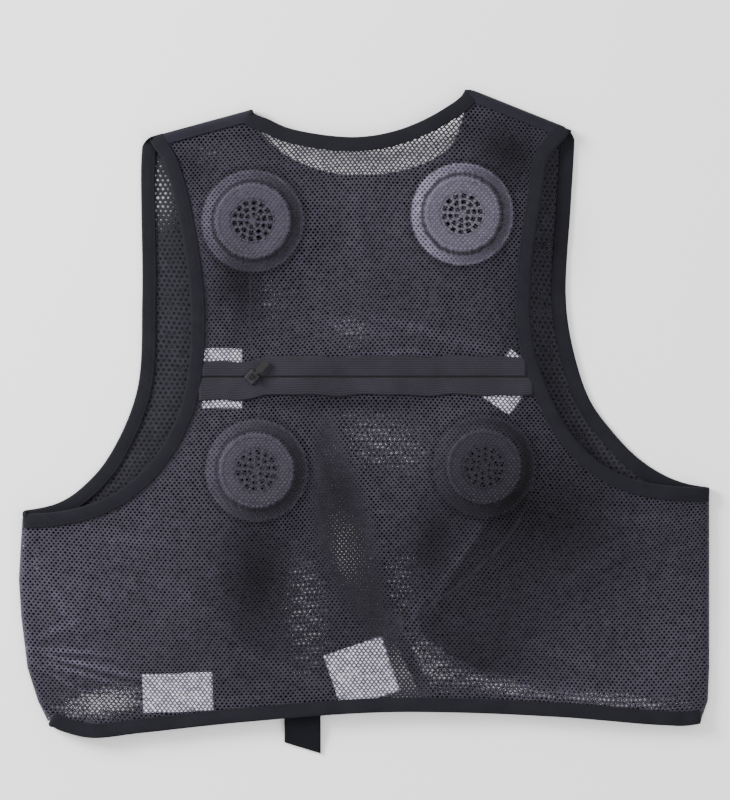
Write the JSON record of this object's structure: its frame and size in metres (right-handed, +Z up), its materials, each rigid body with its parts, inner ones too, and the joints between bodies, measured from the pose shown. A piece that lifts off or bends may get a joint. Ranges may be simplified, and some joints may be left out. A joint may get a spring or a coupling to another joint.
{
  "type": "cooling vest",
  "caption": "Sleeveless mesh vest with fans under its zipped back, lying flat with the back up, with bound neck, armholes and hem.",
  "frame": {"origin": "on the floor under the middle of the vest as it lies", "axes": "+Z up, +Y from the hem to the neck, +X to the right seen from above"},
  "size_m": [0.5532, 0.5294, 0.0233],
  "materials": {
    "back_mesh": "open hexagonal knit",
    "front_mesh": "open hexagonal knit",
    "elastic": "folded knitted elastic",
    "zip": "woven zip tape",
    "zip_pull": "gloss enamel",
    "fan_plastic": "moulded",
    "rotor_plastic": "moulded",
    "patch_cloth": "brushed loop cloth",
    "lead": "satin",
    "webbing": "woven webbing"
  },
  "bodies": {
    "vest": {"back_yoke": "back_mesh", "back_lower": "back_mesh", "front_left_panel": "front_mesh", "front_right_panel": "front_mesh", "neck_binding": "elastic", "armhole_binding_left": "elastic", "armhole_binding_right": "elastic", "hem_binding": "elastic", "shoulder_tape_left": "elastic", "shoulder_tape_right": "elastic", "front_edge_tape_left": "elastic", "front_edge_tape_right": "elastic", "zip_tape_upper": "zip", "zip_tape_lower": "zip", "zip_coil": "zip", "zip_slider": "zip", "fan_housing_upper_left": "fan_plastic", "fan_grille_upper_left": "fan_plastic", "fan_housing_upper_right": "fan_plastic", "fan_grille_upper_right": "fan_plastic", "fan_housing_lower_left": "fan_plastic", "fan_grille_lower_left": "fan_plastic", "fan_housing_lower_right": "fan_plastic", "fan_grille_lower_right": "fan_plastic", "patch_lower_left": "patch_cloth", "patch_lower_middle": "patch_cloth", "patch_upper_left": "patch_cloth", "patch_upper_right": "patch_cloth", "lead_left": "lead", "lead_right_upper": "lead", "lead_right_lower": "lead", "lead_power": "lead", "lead_connector": "lead", "power_plug": "lead", "strap_tail": "webbing"},
    "rotor_upper_left": {"fan_rotor_upper_left": "rotor_plastic"},
    "rotor_upper_right": {"fan_rotor_upper_right": "rotor_plastic"},
    "rotor_lower_left": {"fan_rotor_lower_left": "rotor_plastic"},
    "rotor_lower_right": {"fan_rotor_lower_right": "rotor_plastic"},
    "pull": {"zip_pull": "zip_pull"}
  },
  "joints": [
    {"name": "rotor_spin_upper_left", "type": "hinge", "parent": "vest", "child": "rotor_upper_left", "pos_m": [-0.0893, 0.1555, 0.01], "axis": [0, 0, 1], "continuous": true},
    {"name": "rotor_spin_upper_right", "type": "hinge", "parent": "vest", "child": "rotor_upper_right", "pos_m": [0.07801, 0.16105, 0.01], "axis": [0, 0, 1], "continuous": true},
    {"name": "rotor_spin_lower_left", "type": "hinge", "parent": "vest", "child": "rotor_lower_left", "pos_m": [-0.08625, -0.04358, 0.01], "axis": [0, 0, 1], "continuous": true},
    {"name": "rotor_spin_lower_right", "type": "hinge", "parent": "vest", "child": "rotor_lower_right", "pos_m": [0.09546, -0.04055, 0.01], "axis": [0, 0, 1], "continuous": true},
    {"name": "pull_flip", "type": "hinge", "parent": "vest", "child": "pull", "pos_m": [-0.08985, 0.03094, 0.02], "axis": [0.7071, -0.7071, 0], "range_deg": [0, 150]}
  ]
}
